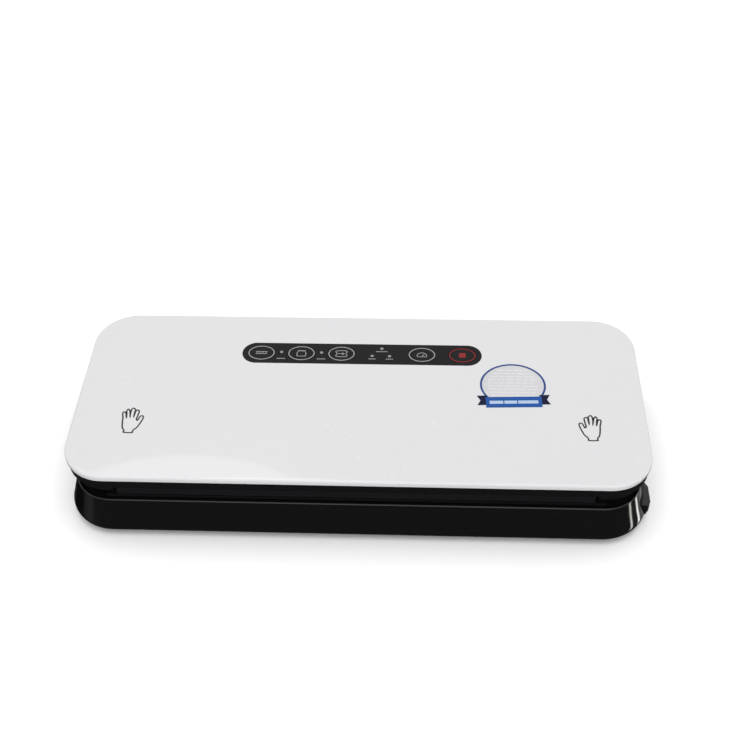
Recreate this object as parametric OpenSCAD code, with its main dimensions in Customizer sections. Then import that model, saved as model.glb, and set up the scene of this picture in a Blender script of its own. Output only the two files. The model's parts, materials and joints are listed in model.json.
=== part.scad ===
/* [Overall] */
// Width of the base at its widest
base_w = 373; // [340:1:460]
// Depth of the base at its widest
base_d = 160.8; // [150:0.1:200]
// Height from the feet to the lid's face
total_h = 50; // [47:0.5:62]
// Width of the lid
lid_w = 370; // [340:1:450]
// Depth of the lid
lid_d = 149; // [140:1:190]

/* [Base shell] */
// Corner radius of the base at its widest
base_r = 31; // [28:0.5:40]
// Height of the rim above the table
rim_z = 28; // [27:0.5:36]
// How far the rim stands in from the widest outline
rim_inset = 6.2; // [4:0.1:9]
// Wall and floor thickness of the shell
shell_wall = 2.5; // [1.8:0.1:3]
// Height of the feet below the shell
foot_h = 3; // [2:0.5:5]
// Radius of a foot
foot_r = 7; // [5:0.5:9]
// Distance of the feet from the middle, across
foot_x = 148; // [120:1:155]
// Distance of the feet from the middle, front to back
foot_y = 50; // [40:1:55]

/* [Deck] */
// Thickness of the deck plate
deck_t = 2; // [1.6:0.1:3]
// Step of the deck below the rim
deck_drop = 1; // [0.5:0.1:2]
// Length of the vacuum chamber
chamber_w = 296; // [250:1:300]
// Front to back size of the vacuum chamber
chamber_d = 32; // [24:1:36]
// Middle of the vacuum chamber, measured back from the middle of the base
chamber_y = -33; // [-34:0.5:-31]
// Depth of the vacuum chamber below the deck
chamber_h = 10; // [7:0.5:11]
// Wall of the vacuum chamber
chamber_wall = 1.6; // [1.2:0.1:2]
// Height of the drip tray
tray_h = 3; // [2:0.1:3.2]
// Length of the machine housing
housing_w = 320; // [300:1:326]
// Front to back size of the machine housing
housing_d = 58; // [54:1:60]
// Middle of the machine housing, front to back
housing_y = 27; // [26:0.5:28]
// Gap between the machine housing and the lid's pocket over it
housing_gap = 2; // [1:0.1:3]

/* [Sealing] */
// Length of the heating ribbon and the pressure bar
seal_w = 298; // [250:1:300]
// Middle of the seal line, front to back
seal_y = -65; // [-66:0.1:-64.5]
// Width of the heater bar
heater_w = 12; // [9:0.5:12.5]
// Width of the heating ribbon
ribbon_w = 4; // [2:0.5:6]
// Width of the release tape over the ribbon
tape_w = 9; // [7:0.5:10]
// Gap between the closed, unpressed strip and the tape
seal_gap = 1.8; // [1:0.1:2.5]
// Height of the pressure bar below the lid frame
bar_h = 6.5; // [5:0.5:7]
// Front to back size of the pressure bar
bar_d = 14.4; // [12:0.2:15]
// Distance of the pressure bar's front from the middle
bar_front = 73.2; // [72:0.1:73.4]
// Width of the silicone strip
strip_w = 7; // [5:0.5:8]
// Width of the foam gaskets
gasket_w = 6; // [4:0.5:7]
// Height of the lower gasket above the deck
gasket_h = 4; // [3:0.5:5]

/* [Lid] */
// Corner radius of the lid
lid_r = 27.7; // [20:0.1:35]
// Height of the white plate's edge
plate_h = 4; // [3:0.1:6]
// Thickness of the plate's top wall
plate_t = 2.4; // [2:0.1:3]
// Rounding of the plate's upper edge
plate_edge = 1.2; // [0.6:0.1:2]
// Height of the black frame's band
frame_h = 7; // [6:0.1:9]
// How far the frame stands in from the plate
frame_inset = 1; // [0.5:0.1:2]
// Wall of the frame's band
frame_wall = 2.4; // [1.8:0.1:3]
// Thickness of the frame's floor
floor_t = 2; // [1.6:0.1:2.4]

/* [Hinge] */
// Distance of the hinges from the middle
hinge_x = 120; // [90:1:130]
// Place of the hinge line, front to back
hinge_y = 65; // [64:0.5:66]
// Height of the hinge line below the frame's underside
hinge_drop = 5; // [4.9:0.1:5.5]
// Radius of the hinge pin
pin_r = 2; // [1.5:0.1:2.4]
// Outer radius of the lugs and knuckles
lug_r = 4.3; // [3.8:0.1:4.5]
// Length of a lid knuckle
knuckle_w = 14; // [10:1:20]
// Thickness of a base lug
lug_t = 5; // [4:0.5:7]

/* [Latch and button] */
// Distance of the latch hooks from the middle
hook_x = 168; // [167:0.1:169]
// Place of the hooks and the button, front to back
hook_y = -51; // [-52:0.5:-50]
// Width of a hook
hook_w = 10; // [8:0.5:11]
// Travel of the release button
button_travel = 2; // [1.6:0.1:2.2]
// Length of the release button
button_w = 19; // [16:0.5:22]
// Height of the release button
button_h = 9; // [8:0.5:10]
// Height of the button's middle above the table
button_z = 11; // [10.5:0.5:12]
// How far the button stands out of the base
button_proud = 2.1; // [1:0.1:3]
// Wire radius of the return spring
spring_wire = 0.4; // [0.3:0.05:0.6]
// Coil radius of the return spring
spring_r = 2.3; // [2:0.1:2.5]

/* [Control panel] */
// Length of the control panel
panel_w = 162.5; // [150:0.5:180]
// Front to back size of the control panel
panel_d = 19.3; // [17:0.1:24]
// Place of the control panel, front to back
panel_y = 38; // [30:0.5:42]
// Length of a key
key_w = 18.2; // [14:0.1:20]
// Front to back size of a key
key_d = 13.6; // [11:0.1:16]
// Distance between neighbouring keys
key_pitch = 27.3; // [24:0.1:28]
// Travel of a key
key_travel = 0.4; // [0.2:0.05:0.6]
// Radius of a light pipe
light_r = 1.1; // [0.8:0.1:1.5]

/* [Sticker] */
// Width of the sticker's round part
sticker_w = 43; // [30:1:50]
// Front to back size of the sticker's round part
sticker_d = 39; // [30:1:44]
// Place of the sticker, across
sticker_x = 101.5; // [90:0.5:120]
// Place of the sticker, front to back
sticker_y = 10.7; // [0:0.1:12]
// Thickness of the sticker
film_t = 0.2; // [0.1:0.05:0.3]

/* [Machine] */
// Radius of the pump motor's can
motor_r = 12.2; // [10:0.1:13]
// Length of the pump motor's can
motor_l = 30; // [26:1:36]
// Radius of the motor shaft
shaft_r = 1.15; // [1:0.05:1.5]
// Place of the motor's far end, across
motor_x = -142; // [-145:1:-138]
// Height of the motor's axis
motor_z = 20.5; // [19:0.5:22]
// Inner radius of the hoses
hose_r = 2.2; // [1.5:0.1:2.5]
// Bore radius of the accessory port
port_r = 2.5; // [2:0.1:3]
// Place of the accessory port, across
port_x = -70; // [-80:1:-60]
// Place of the appliance inlet, across
inlet_x = 110; // [90:1:120]
// Width of the appliance inlet
inlet_w = 22; // [20:0.5:26]
// Height of the appliance inlet
inlet_h = 14; // [12:0.5:16]
// Length of the power board
pcb_w = 88; // [80:1:100]
// Front to back size of the power board
pcb_d = 48; // [40:1:52]

/* [Hidden] */
$fn = 64;
eps = 0.02;
fit = 0.2;
run_fit = 0.05;

// Heights, from the table up
shell_z = foot_h;
edge_z = foot_h + 4;
crease_z = foot_h + 12;
crease_inset = 0.39 * rim_inset;
bottom_inset = 3;
floor_z = foot_h + shell_wall;
deck_z = rim_z - deck_drop;
face_z = total_h - film_t;
plate_z = total_h - plate_h;
frame_z = plate_z - frame_h;
lid_floor_z = frame_z + floor_t;
housing_z = frame_z + 1;
pocket_z = housing_z + housing_gap;
pocket_t = 1.2;
hinge_z = frame_z - hinge_drop;
chamber_floor_z = deck_z - chamber_h;
bar_z = frame_z - bar_h;
strip_z = bar_z - 0.7;
strip_seat = 2.1;
tape_t = 0.2;
ribbon_t = 0.2;
tape_z = strip_z - seal_gap;
heater_z = tape_z - tape_t - ribbon_t;
heater_seat_z = deck_z - 1.2;
gasket_top_z = deck_z + gasket_h;

// Plan sizes
rim_in_w = base_w - 2 * (rim_inset + shell_wall + fit);
rim_in_d = base_d - 2 * (rim_inset + shell_wall + fit);
rim_in_r = base_r - rim_inset - shell_wall - fit;
frame_w = lid_w - 2 * frame_inset;
frame_d = lid_d - 2 * frame_inset;
frame_r = lid_r - frame_inset;
ring_w = chamber_w + 8 + 2 * gasket_w;
ring_d = chamber_d + 4 + 2 * gasket_w;
ring_r = 12;
chamber_r = 4.4;
pocket_w = housing_w + 6;
pocket_d = housing_d + 8;
rib_t = 1.2;
skirt_inset = 3;
skirt_h = 6;
skirt_t = 1.6;
hinge_half = knuckle_w / 2 + 0.4 + lug_t;
ledge_t = 1.2;
cover_inset = bottom_inset + 4;
mouth_inset = bottom_inset + 7;
shelf_inset = rim_inset + 0.3;
shelf_w = shell_wall + 1.7;

// The base's outline from the bottom up: how far in from the widest outline, and the height
shell_profile = [
    [bottom_inset, shell_z], [0.9, shell_z + 0.9], [0, edge_z],
    [crease_inset, crease_z], [rim_inset, rim_z]
];

inner_profile = concat(
    [[bottom_inset + shell_wall, floor_z], [shell_wall + 0.9, floor_z + 0.9]],
    [for (i = [2:4]) shell_profile[i] + [shell_wall, i == 4 ? 1 : 0]]
);

// Screws
screw_r = 1.25;
head_r = 2.6;
head_t = 1.4;
boss_r = 3.4;
socket_z = floor_z + 6;
rear_screw_y = base_d / 2 - shelf_inset - shelf_w - boss_r - 0.3;
base_screw_at = [
    for (sx = [-1, 1])
        for (p = [[base_w / 2 - 15, -12], [base_w / 2 - 15, 45], [75, seal_y + 1], [45, rear_screw_y]])
            [sx * p[0], p[1]]
];
lid_screw_at = [
    for (sx = [-1, 1]) for (p = [[lid_w / 2 - 13, -20], [lid_w / 2 - 13, 20], [60, 66]]) [sx * p[0], p[1]]
];
bar_screw_x = [-110, 0, 110];

// Latch
hook_t = 2.8;
nose = 1.4;
nose_t = 1.6;
slider_t = 1.6;
slider_z = deck_z - 7.1;
hook_z = slider_z + slider_t + 0.5;
window_in = hook_x - hook_t / 2 - nose + 0.6;
window_out = hook_x + hook_t / 2 + button_travel + 0.5;
slider_in = hook_x - 14.7;
slider_out = window_out + 2.6;
slider_w = hook_w + 9;
window_w = hook_w + 3;
spring_post_x = slider_in - 8.5;
spring_y = hook_y - 5.5;
link_z = 12.4;
link_t = 2;
link_w = 5;
catch_in = window_in - 2 * hook_x - 2.5;
catch_out = window_out - 2 * hook_x + 10;
side_inset = crease_inset * (button_z - edge_z) / (crease_z - edge_z);
side_x = base_w / 2 - side_inset;
button_x = side_x + button_proud;

// Keys and panel
key_x = [-2.5, -1.5, -0.5, 1.5, 2.5] * key_pitch;
key_gap = 0.3;
panel_t = 0.5;
panel_lip = 0.05;
board_t = 1.2;
board_z = pocket_z + pocket_t + 0.4;
switch_t = 1.2;
switch_z = board_z + board_t;
board_w = panel_w - 8;
board_d = panel_d - 2;
board_screw_at = [[-2 * key_pitch, -5.5], [0, 5], [2 * key_pitch, -5.5]];
board_boss_r = 2.2;
light_at = [
    [-2 * key_pitch, 1], [-key_pitch, 1], [0.5 * key_pitch, 5.5],
    [0.5 * key_pitch - 6.4, -1.7], [0.5 * key_pitch + 5.4, -1.7]
];

// Machine
motor_y = housing_y + 3;
case_x = motor_x + motor_l + 2;
case_w = 24;
case_d = 28;
case_h = 25;
case_bore = 9;
rod_x = case_x + 14;
head_d = 9;
orbit = 1.5;
ecc_r = 4;
hose_wall = 1;
hose_z = deck_z - deck_t - hose_r - hose_wall - 0.3;
hose_x = rod_x - 4;
outlet_z = motor_z - 6.5;
hose_bend = 8;
head_front = motor_y - case_d / 2 - head_d;
chamber_back = chamber_y + chamber_d / 2 + chamber_wall;
board_x = 22;
pcb_z = floor_z + 4.5;
pcb_t = 1.6;
pcb_post_x = pcb_w / 2 - 6;
pcb_post_y = pcb_d / 2 - 6;
rear_wall_y = base_d / 2 - crease_inset;
port_w = 11;
inlet_z = 16;
switch_x = chamber_w / 2 + chamber_wall + 3;
switch_y = hook_y + slider_w / 2 + 2.5;

black = [0.03, 0.03, 0.035];
dark = [0.12, 0.12, 0.13];
white = [0.93, 0.93, 0.94];

// Flat outline with round corners
module plan(w, d, r) {
    square([w - 2 * r, d], center = true);
    square([w, d - 2 * r], center = true);
    for (sx = [-1, 1], sy = [-1, 1]) translate([sx * (w / 2 - r), sy * (d / 2 - r)]) circle(r);
}

// Plate with round corners, from height z up
module slab(w, d, r, z, h) {
    translate([0, 0, z]) linear_extrude(h) plan(w, d, r);
}

// Racetrack ring of a given width
module ring(w, d, r, z, h, t) {
    translate([0, 0, z]) linear_extrude(h) difference() {
        plan(w, d, r);
        plan(w - 2 * t, d - 2 * t, r - t);
    }
}

// Half of an upright section, from the corner's centre line out to the wall
module half_section(pts, r) {
    polygon(concat([[-1, pts[0][1]]], [for (p = pts) [r - p[0], p[1]]], [[-1, pts[len(pts) - 1][1]]]));
}

// Solid whose outline follows a profile of insets and heights: two crossing bars and four turned corners
module flared(w, d, r, pts) {
    cx = w / 2 - r;
    cy = d / 2 - r;
    low = pts[0][1];
    high = pts[len(pts) - 1][1];
    for (sx = [-1, 1], sy = [-1, 1]) translate([sx * cx, sy * cy, 0]) rotate_extrude()
        intersection() {
            half_section(pts, r);
            translate([0, low]) square([r + 1, high - low]);
        }
    rotate([90, 0, 90]) translate([0, 0, -cx]) linear_extrude(2 * cx) bar_section(cy, pts, r);
    rotate([90, 0, 0]) translate([0, 0, -cy]) linear_extrude(2 * cy) bar_section(cx, pts, r);
}

// Full upright section of a bar whose two corner centres are c from the middle
module bar_section(c, pts, r) {
    low = pts[0][1];
    high = pts[len(pts) - 1][1];
    translate([-c, low]) square([2 * c, high - low]);
    for (s = [0, 1]) mirror([s, 0]) translate([c, 0]) half_section(pts, r);
}

// Upright post with its middle at p
module post(p, r, z0, z1) {
    translate([p[0], p[1], z0]) cylinder(r = r, h = z1 - z0);
}

// Cylinder lying along X
module along_x(r, x0, x1, y, z) {
    translate([x0, y, z]) rotate([0, 90, 0]) cylinder(r = r, h = x1 - x0);
}

// Cylinder lying along Y
module along_y(r, y0, y1, x, z) {
    translate([x, y1, z]) rotate([90, 0, 0]) cylinder(r = r, h = y1 - y0);
}

// Block from one corner to the opposite one
module block(a, b) {
    translate(a) cube(b - a);
}

// Flat oval
module oval(w, d) {
    polygon([for (i = [0:47]) [w / 2 * cos(7.5 * i), d / 2 * sin(7.5 * i)]]);
}

// Pan-head screw, head at z, shank up
module screw(p, z, len) {
    post(p, head_r, z, z + head_t);
    post(p, screw_r, z + head_t, z + len);
}

// Flat outline that stands in from the base's widest outline
module base_plan(inset) {
    plan(base_w - 2 * inset, base_d - 2 * inset, base_r - inset);
}

// Walls of the base, open below for the cover, with a shelf that the deck rests on
module base_shell() color(black) difference() {
    union() {
        difference() {
            flared(base_w, base_d, base_r, shell_profile);
            flared(base_w, base_d, base_r, inner_profile);
        }
        translate([0, 0, deck_z - deck_t - ledge_t]) linear_extrude(ledge_t) difference() {
            base_plan(shelf_inset);
            base_plan(shelf_inset + shelf_w);
        }
    }
    translate([0, 0, shell_z - 1]) linear_extrude(1 + shell_wall - ledge_t) base_plan(cover_inset);
    translate([0, 0, shell_z - 1]) linear_extrude(shell_wall + 2) base_plan(mouth_inset);
    block([side_x - 16, hook_y - button_w / 2 - fit * 2, button_z - button_h / 2 - fit * 2],
        [button_x + 5, hook_y + button_w / 2 + fit * 2, button_z + button_h / 2 + fit * 2]);
    block([inlet_x - inlet_w / 2 - fit, rear_wall_y - 14, inlet_z - inlet_h / 2 - fit],
        [inlet_x + inlet_w / 2 + fit, base_d / 2 + 2, inlet_z + inlet_h / 2 + fit]);
    block([port_x - port_w / 2 - fit, rear_wall_y - 14, outlet_z - port_w / 2 - fit],
        [port_x + port_w / 2 + fit, base_d / 2 + 2, outlet_z + port_w / 2 + fit]);
}

// Cover that closes the base from below and carries the works
module bottom_cover() color(dark) difference() {
    union() {
        translate([0, 0, shell_z]) linear_extrude(shell_wall - ledge_t) base_plan(cover_inset + fit);
        translate([0, 0, shell_z]) linear_extrude(shell_wall) base_plan(mouth_inset + fit);
        for (p = base_screw_at) post(p, boss_r, floor_z - eps, socket_z);
        for (sx = [-1, 1], sy = [-1, 1])
            post([sx * foot_x, sy * foot_y], foot_r + 1.5, floor_z - eps, floor_z + 1);
        for (sx = [-1, 1], sy = [-1, 1])
            post([board_x + sx * pcb_post_x, housing_y + sy * pcb_post_y], 2.5, floor_z - eps, pcb_z);
        bar_guides(slider_in + 4, window_out - button_travel - 0.5);
        bar_guides(catch_in + button_travel + 1, catch_out - 4);
        block([spring_post_x - 2, spring_y - 2, floor_z - eps],
            [spring_post_x, spring_y + 2.2, slider_z + 3.6]);
        block([case_x + 2, motor_y - 10, floor_z - eps],
            [case_x + case_w - 2, motor_y + 10, motor_z - case_h / 2]);
        block([switch_x, switch_y, floor_z - eps], [switch_x + 8, switch_y + 22, floor_z + 6]);
    }
    for (p = base_screw_at) {
        post(p, screw_r + 0.2, shell_z - 1, socket_z + 1);
        post(p, head_r + 0.4, shell_z - 1, floor_z + 1);
    }
    for (sx = [-1, 1], sy = [-1, 1]) post([sx * foot_x, sy * foot_y], foot_r, shell_z - 1, shell_z + 1.5);
}

// Ribs that carry the release bar between two places across
module bar_guides(x0, x1) {
    for (y = [-1, 1]) block([x0, hook_y + y * (slider_w / 2 - 1) - 0.7, floor_z - eps],
        [x1, hook_y + y * (slider_w / 2 - 1) + 0.7, slider_z - 0.1]);
}

module deck() color(dark) difference() {
    union() {
        slab(rim_in_w, rim_in_d, rim_in_r, deck_z - deck_t, deck_t);
        translate([0, housing_y, 0]) slab(housing_w, housing_d, 8, deck_z - eps, housing_z - deck_z + eps);
        translate([0, chamber_y, 0]) {
            ring(ring_w + 2 * rib_t, ring_d + 2 * rib_t, ring_r + rib_t, deck_z - eps, 2 + eps, rib_t);
            ring(ring_w - 2 * gasket_w, ring_d - 2 * gasket_w, ring_r - gasket_w, deck_z - eps,
                2 + eps, rib_t);
        }
        for (sx = [-1, 1], sy = [-1, 1]) hinge_lug(sx * hinge_x + sy * (knuckle_w / 2 + 0.4 + lug_t / 2));
        for (p = base_screw_at) post(p, boss_r, socket_z, deck_z - deck_t + eps);
    }
    translate([0, housing_y, 0])
        slab(housing_w - 4, housing_d - 4, 6, deck_z - deck_t - 1, housing_z - deck_z + 1);
    translate([0, chamber_y, 0]) slab(chamber_w, chamber_d, chamber_r, deck_z - deck_t - 1, deck_t + 4);
    block([-seal_w / 2 - 8, seal_y - heater_w / 2, heater_seat_z],
        [seal_w / 2 + 8, seal_y + heater_w / 2, deck_z + 1]);
    for (p = base_screw_at) post(p, screw_r, socket_z - 1, deck_z - deck_t);
    for (s = [-1, 1]) block([s * hook_x - 5.5, hook_y - hook_w / 2 - 3, deck_z - deck_t - 1],
        [s * hook_x + 5.5, hook_y + hook_w / 2 + 3, deck_z + 3]);
    along_x(pin_r, -hinge_x - 20, hinge_x + 20, hinge_y, hinge_z);
}

// Lug of the base at one place along the hinge line
module hinge_lug(x) {
    along_x(lug_r, x - lug_t / 2, x + lug_t / 2, hinge_y, hinge_z);
    block([x - lug_t / 2, hinge_y - lug_r, deck_z - eps], [x + lug_t / 2, hinge_y + lug_r, hinge_z]);
}

// Trough of the vacuum chamber, bonded under the deck's opening, with the pump's hose tail behind it
module chamber_trough() color(dark) difference() {
    union() {
        translate([0, chamber_y, 0]) slab(chamber_w + 2 * chamber_wall, chamber_d + 2 * chamber_wall,
            chamber_r + chamber_wall, chamber_floor_z - chamber_wall,
            deck_z - deck_t - chamber_floor_z + chamber_wall);
        along_y(hose_r, chamber_back - eps, chamber_back + 5, hose_x, hose_z);
    }
    translate([0, chamber_y, 0]) slab(chamber_w, chamber_d, chamber_r, chamber_floor_z, chamber_h);
    along_y(1.3, chamber_y + chamber_d / 2 - 1, chamber_back + 6, hose_x, hose_z);
}

module drip_tray() color([0.75, 0.77, 0.8]) translate([0, chamber_y, 0]) difference() {
    slab(chamber_w - 1, chamber_d - 1, chamber_r - 0.5, chamber_floor_z, tray_h);
    slab(chamber_w - 3.4, chamber_d - 3.4, chamber_r - 1.7, chamber_floor_z + 1, tray_h);
}

module lower_gasket() color([0.15, 0.15, 0.16]) translate([0, chamber_y, 0])
    ring(ring_w, ring_d, ring_r, deck_z, gasket_h, gasket_w - rib_t * 1.001);

module heater_bar() color([0.85, 0.83, 0.75]) block([-seal_w / 2 - 8, seal_y - heater_w / 2, heater_seat_z],
    [seal_w / 2 + 8, seal_y + heater_w / 2, heater_z]);

module heating_ribbon() color([0.6, 0.58, 0.55]) block([-seal_w / 2, seal_y - ribbon_w / 2, heater_z],
    [seal_w / 2, seal_y + ribbon_w / 2, heater_z + ribbon_t]);

module release_tape() color([0.55, 0.4, 0.25]) difference() {
    block([-seal_w / 2, seal_y - tape_w / 2, heater_z], [seal_w / 2, seal_y + tape_w / 2, tape_z]);
    block([-seal_w / 2 - 1, seal_y - ribbon_w / 2, heater_z - 1],
        [seal_w / 2 + 1, seal_y + ribbon_w / 2, heater_z + ribbon_t]);
}

module ribbon_clips() color([0.8, 0.65, 0.3]) for (s = [0, 1]) mirror([s, 0, 0]) {
    block([seal_w / 2, seal_y - 3, heater_z], [seal_w / 2 + 6, seal_y + 3, heater_z + 0.8]);
    post([seal_w / 2 + 3, seal_y], 1.6, heater_z + 0.8 - eps, heater_z + 1.4);
}

module feet() color([0.1, 0.1, 0.1]) for (sx = [-1, 1], sy = [-1, 1]) translate([sx * foot_x, sy * foot_y, 0])
    rotate_extrude() polygon([[0, 0.5], [foot_r - 3, 0.5], [foot_r - 2.6, 0], [foot_r - 0.8, 0],
        [foot_r, 0.8], [foot_r, shell_z + 1.5], [0, shell_z + 1.5]]);

module base_screws() color("silver") for (p = base_screw_at) screw(p, floor_z + 1 - head_t, 14);

module hinge_pins() color("silver") for (s = [-1, 1])
    along_x(pin_r, s * hinge_x - hinge_half, s * hinge_x + hinge_half, hinge_y, hinge_z);

module pump_motor() color("lightgray") difference() {
    union() {
        along_x(motor_r, motor_x, motor_x + motor_l, motor_y, motor_z);
        along_x(4.5, motor_x - 1.5, motor_x + motor_l + 2, motor_y, motor_z);
    }
    along_x(motor_r - 1, motor_x + 2, motor_x + motor_l - 2, motor_y, motor_z);
    along_x(shaft_r + run_fit, motor_x - 3, motor_x + motor_l + 3, motor_y, motor_z);
}

module motor_magnets() color([0.25, 0.25, 0.27]) for (s = [0, 180])
    translate([motor_x + 3, motor_y, motor_z]) rotate([s, 0, 0]) rotate([0, 90, 0]) rotate([0, 0, -55])
        rotate_extrude(angle = 110) translate([motor_r - 3, 0]) square([2, motor_l - 6]);

module motor_core() color([0.5, 0.35, 0.2]) difference() {
    union() {
        along_x(3, motor_x + 3, motor_x + motor_l - 3, motor_y, motor_z);
        along_x(motor_r - 4, motor_x + 6, motor_x + motor_l - 6, motor_y, motor_z);
    }
    for (a = [0:72:288]) translate([0, motor_y, motor_z]) rotate([a, 0, 0])
        block([motor_x + 2, -0.8, 3.6], [motor_x + motor_l - 2, 0.8, motor_r]);
    along_x(shaft_r, motor_x, motor_x + motor_l, motor_y, motor_z);
}

module motor_shaft() color("silver") along_x(shaft_r, motor_x - 4, rod_x + 4, motor_y, motor_z);

module pump_eccentric() color("gold") difference() {
    union() {
        along_x(ecc_r, rod_x - 2.5, rod_x + 2.5, motor_y, motor_z + orbit);
        along_x(6.5, rod_x - 6, rod_x - 3.5, motor_y, motor_z);
        along_x(2.4, rod_x - 3.6, rod_x - 2.4, motor_y, motor_z);
    }
    along_x(shaft_r, rod_x - 7, rod_x + 3, motor_y, motor_z);
}

module pump_crankcase() color(dark) difference() {
    block([case_x, motor_y - case_d / 2, motor_z - case_h / 2],
        [case_x + case_w, motor_y + case_d / 2, motor_z + case_h / 2]);
    along_x(case_bore, case_x + 2, case_x + case_w - 2, motor_y, motor_z);
    along_x(4.5, case_x - 1, case_x + 3, motor_y, motor_z);
    along_y(6.5, motor_y - case_d / 2 - 1, motor_y, rod_x, motor_z);
}

module pump_rod() color("white") difference() {
    union() {
        along_x(7.4, rod_x - 2, rod_x + 2, motor_y, motor_z);
        block([rod_x - 2, motor_y - case_d / 2 + 1, motor_z - 2], [rod_x + 2, motor_y - 6, motor_z + 2]);
    }
    along_x(ecc_r + orbit + 0.3, rod_x - 3, rod_x + 3, motor_y, motor_z);
}

module pump_diaphragm() color([0.2, 0.2, 0.2]) union() {
    along_y(6.2, motor_y - case_d / 2 + eps, motor_y - case_d / 2 + 1, rod_x, motor_z);
    along_y(9, motor_y - case_d / 2 - 1.2, motor_y - case_d / 2, rod_x, motor_z);
    along_y(6, motor_y - case_d / 2 - eps, motor_y - case_d / 2 + eps * 2, rod_x, motor_z);
}

module pump_head() color(dark) difference() {
    union() {
        block([rod_x - 11, head_front, motor_z - case_h / 2],
            [rod_x + 10, motor_y - case_d / 2, motor_z + case_h / 2]);
        along_y(hose_r, head_front - 5, head_front + 1, hose_x, hose_z);
        along_x(hose_r, rod_x + 9, rod_x + 15, head_front + 4, outlet_z);
    }
    along_y(9 + 0.01, motor_y - case_d / 2 - 1.2, motor_y - case_d / 2 + 1, rod_x, motor_z);
    along_y(6.5, head_front + 5.5, motor_y - case_d / 2, rod_x, motor_z);
    along_y(1.3, head_front - 6, head_front + 6, hose_x, hose_z);
    along_x(1.3, rod_x, rod_x + 16, head_front + 4, outlet_z);
    along_y(1.3, head_front + 3, head_front + 6, rod_x, motor_z + 4.5);
    along_y(1.3, head_front + 3, head_front + 6, rod_x + 0.8, outlet_z);
}

module pump_cradle() color([0.15, 0.15, 0.15]) difference() {
    block([motor_x + 3, motor_y - 10, floor_z], [motor_x + motor_l - 3, motor_y + 10, motor_z - 4]);
    along_x(motor_r, motor_x, motor_x + motor_l, motor_y, motor_z);
}

module vacuum_hose() color([0.85, 0.85, 0.8]) difference() {
    along_y(hose_r + hose_wall, chamber_back + 0.3, head_front - 0.3, hose_x, hose_z);
    along_y(hose_r, chamber_back - 1, head_front + 1, hose_x, hose_z);
}

// Hose out of the pump head, round one bend and back to the port, all at one height
module accessory_hose() color([0.85, 0.85, 0.8]) {
    outlet_x = rod_x + 10.5;
    outlet_y = head_front + 4;
    translate([outlet_x, outlet_y, outlet_z]) rotate([90, 0, 90])
        linear_extrude(port_x - hose_bend - outlet_x) hose_section();
    translate([port_x - hose_bend, outlet_y + hose_bend, outlet_z]) rotate([0, 0, -90])
        rotate_extrude(angle = 90) translate([hose_bend, 0]) hose_section();
    translate([port_x, rear_wall_y - 12.3, outlet_z]) rotate([90, 0, 0])
        linear_extrude(rear_wall_y - 12.3 - outlet_y - hose_bend) hose_section();
}

// Cut across a hose
module hose_section() difference() {
    circle(hose_r + hose_wall);
    circle(hose_r);
}

module accessory_port() color(black) difference() {
    union() {
        block([port_x - port_w / 2, rear_wall_y - 10, outlet_z - port_w / 2],
            [port_x + port_w / 2, rear_wall_y + 0.2, outlet_z + port_w / 2]);
        along_y(7, rear_wall_y - 12, rear_wall_y - 5, port_x, outlet_z);
        along_y(hose_r, rear_wall_y - 17, rear_wall_y - 11, port_x, outlet_z);
    }
    along_y(port_r, rear_wall_y - 9, rear_wall_y + 1, port_x, outlet_z);
    along_y(1.3, rear_wall_y - 18, rear_wall_y - 8, port_x, outlet_z);
}

module power_board() color([0.1, 0.35, 0.15]) difference() {
    block([board_x - pcb_w / 2, housing_y - pcb_d / 2, pcb_z],
        [board_x + pcb_w / 2, housing_y + pcb_d / 2, pcb_z + pcb_t]);
    for (sx = [-1, 1], sy = [-1, 1])
        post([board_x + sx * pcb_post_x, housing_y + sy * pcb_post_y], 1.5, pcb_z - 1, pcb_z + 3);
}

module transformer() color([0.35, 0.33, 0.3]) union() {
    block([board_x - 20, housing_y - 17, pcb_z + pcb_t], [board_x + 14, housing_y + 17, pcb_z + 20]);
    block([board_x - 14, housing_y - 20, pcb_z + 4], [board_x + 8, housing_y + 20, pcb_z + 17]);
}

module capacitors() color([0.15, 0.2, 0.4]) for (y = [-12, 0])
    post([board_x + 23, housing_y + y], 5, pcb_z + pcb_t, pcb_z + 18);

module relay() color([0.1, 0.15, 0.3])
    block([board_x + 18, housing_y + 8, pcb_z + pcb_t], [board_x + 36, housing_y + 20, pcb_z + 17]);

module lid_switch() color("red") union() {
    block([switch_x, switch_y, floor_z + 6], [switch_x + 7, switch_y + 20, floor_z + 16]);
    block([switch_x + 2, switch_y + 6, floor_z + 16 - eps], [switch_x + 5, switch_y + 9, floor_z + 18]);
}

module inlet_socket() color(black) difference() {
    block([inlet_x - inlet_w / 2, rear_wall_y - 17, inlet_z - inlet_h / 2],
        [inlet_x + inlet_w / 2, rear_wall_y - 0.5, inlet_z + inlet_h / 2]);
    for (s = [-1, 1]) along_y(4.4, rear_wall_y - 13, rear_wall_y + 1, inlet_x + s * 4, inlet_z);
    block([inlet_x - 4, rear_wall_y - 13, inlet_z - 4.2], [inlet_x + 4, rear_wall_y + 1, inlet_z + 4.2]);
}

module inlet_pins() color("silver") for (s = [-1, 1])
    along_y(1.15, rear_wall_y - 13, rear_wall_y - 3, inlet_x + s * 4.3, inlet_z);

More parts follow.
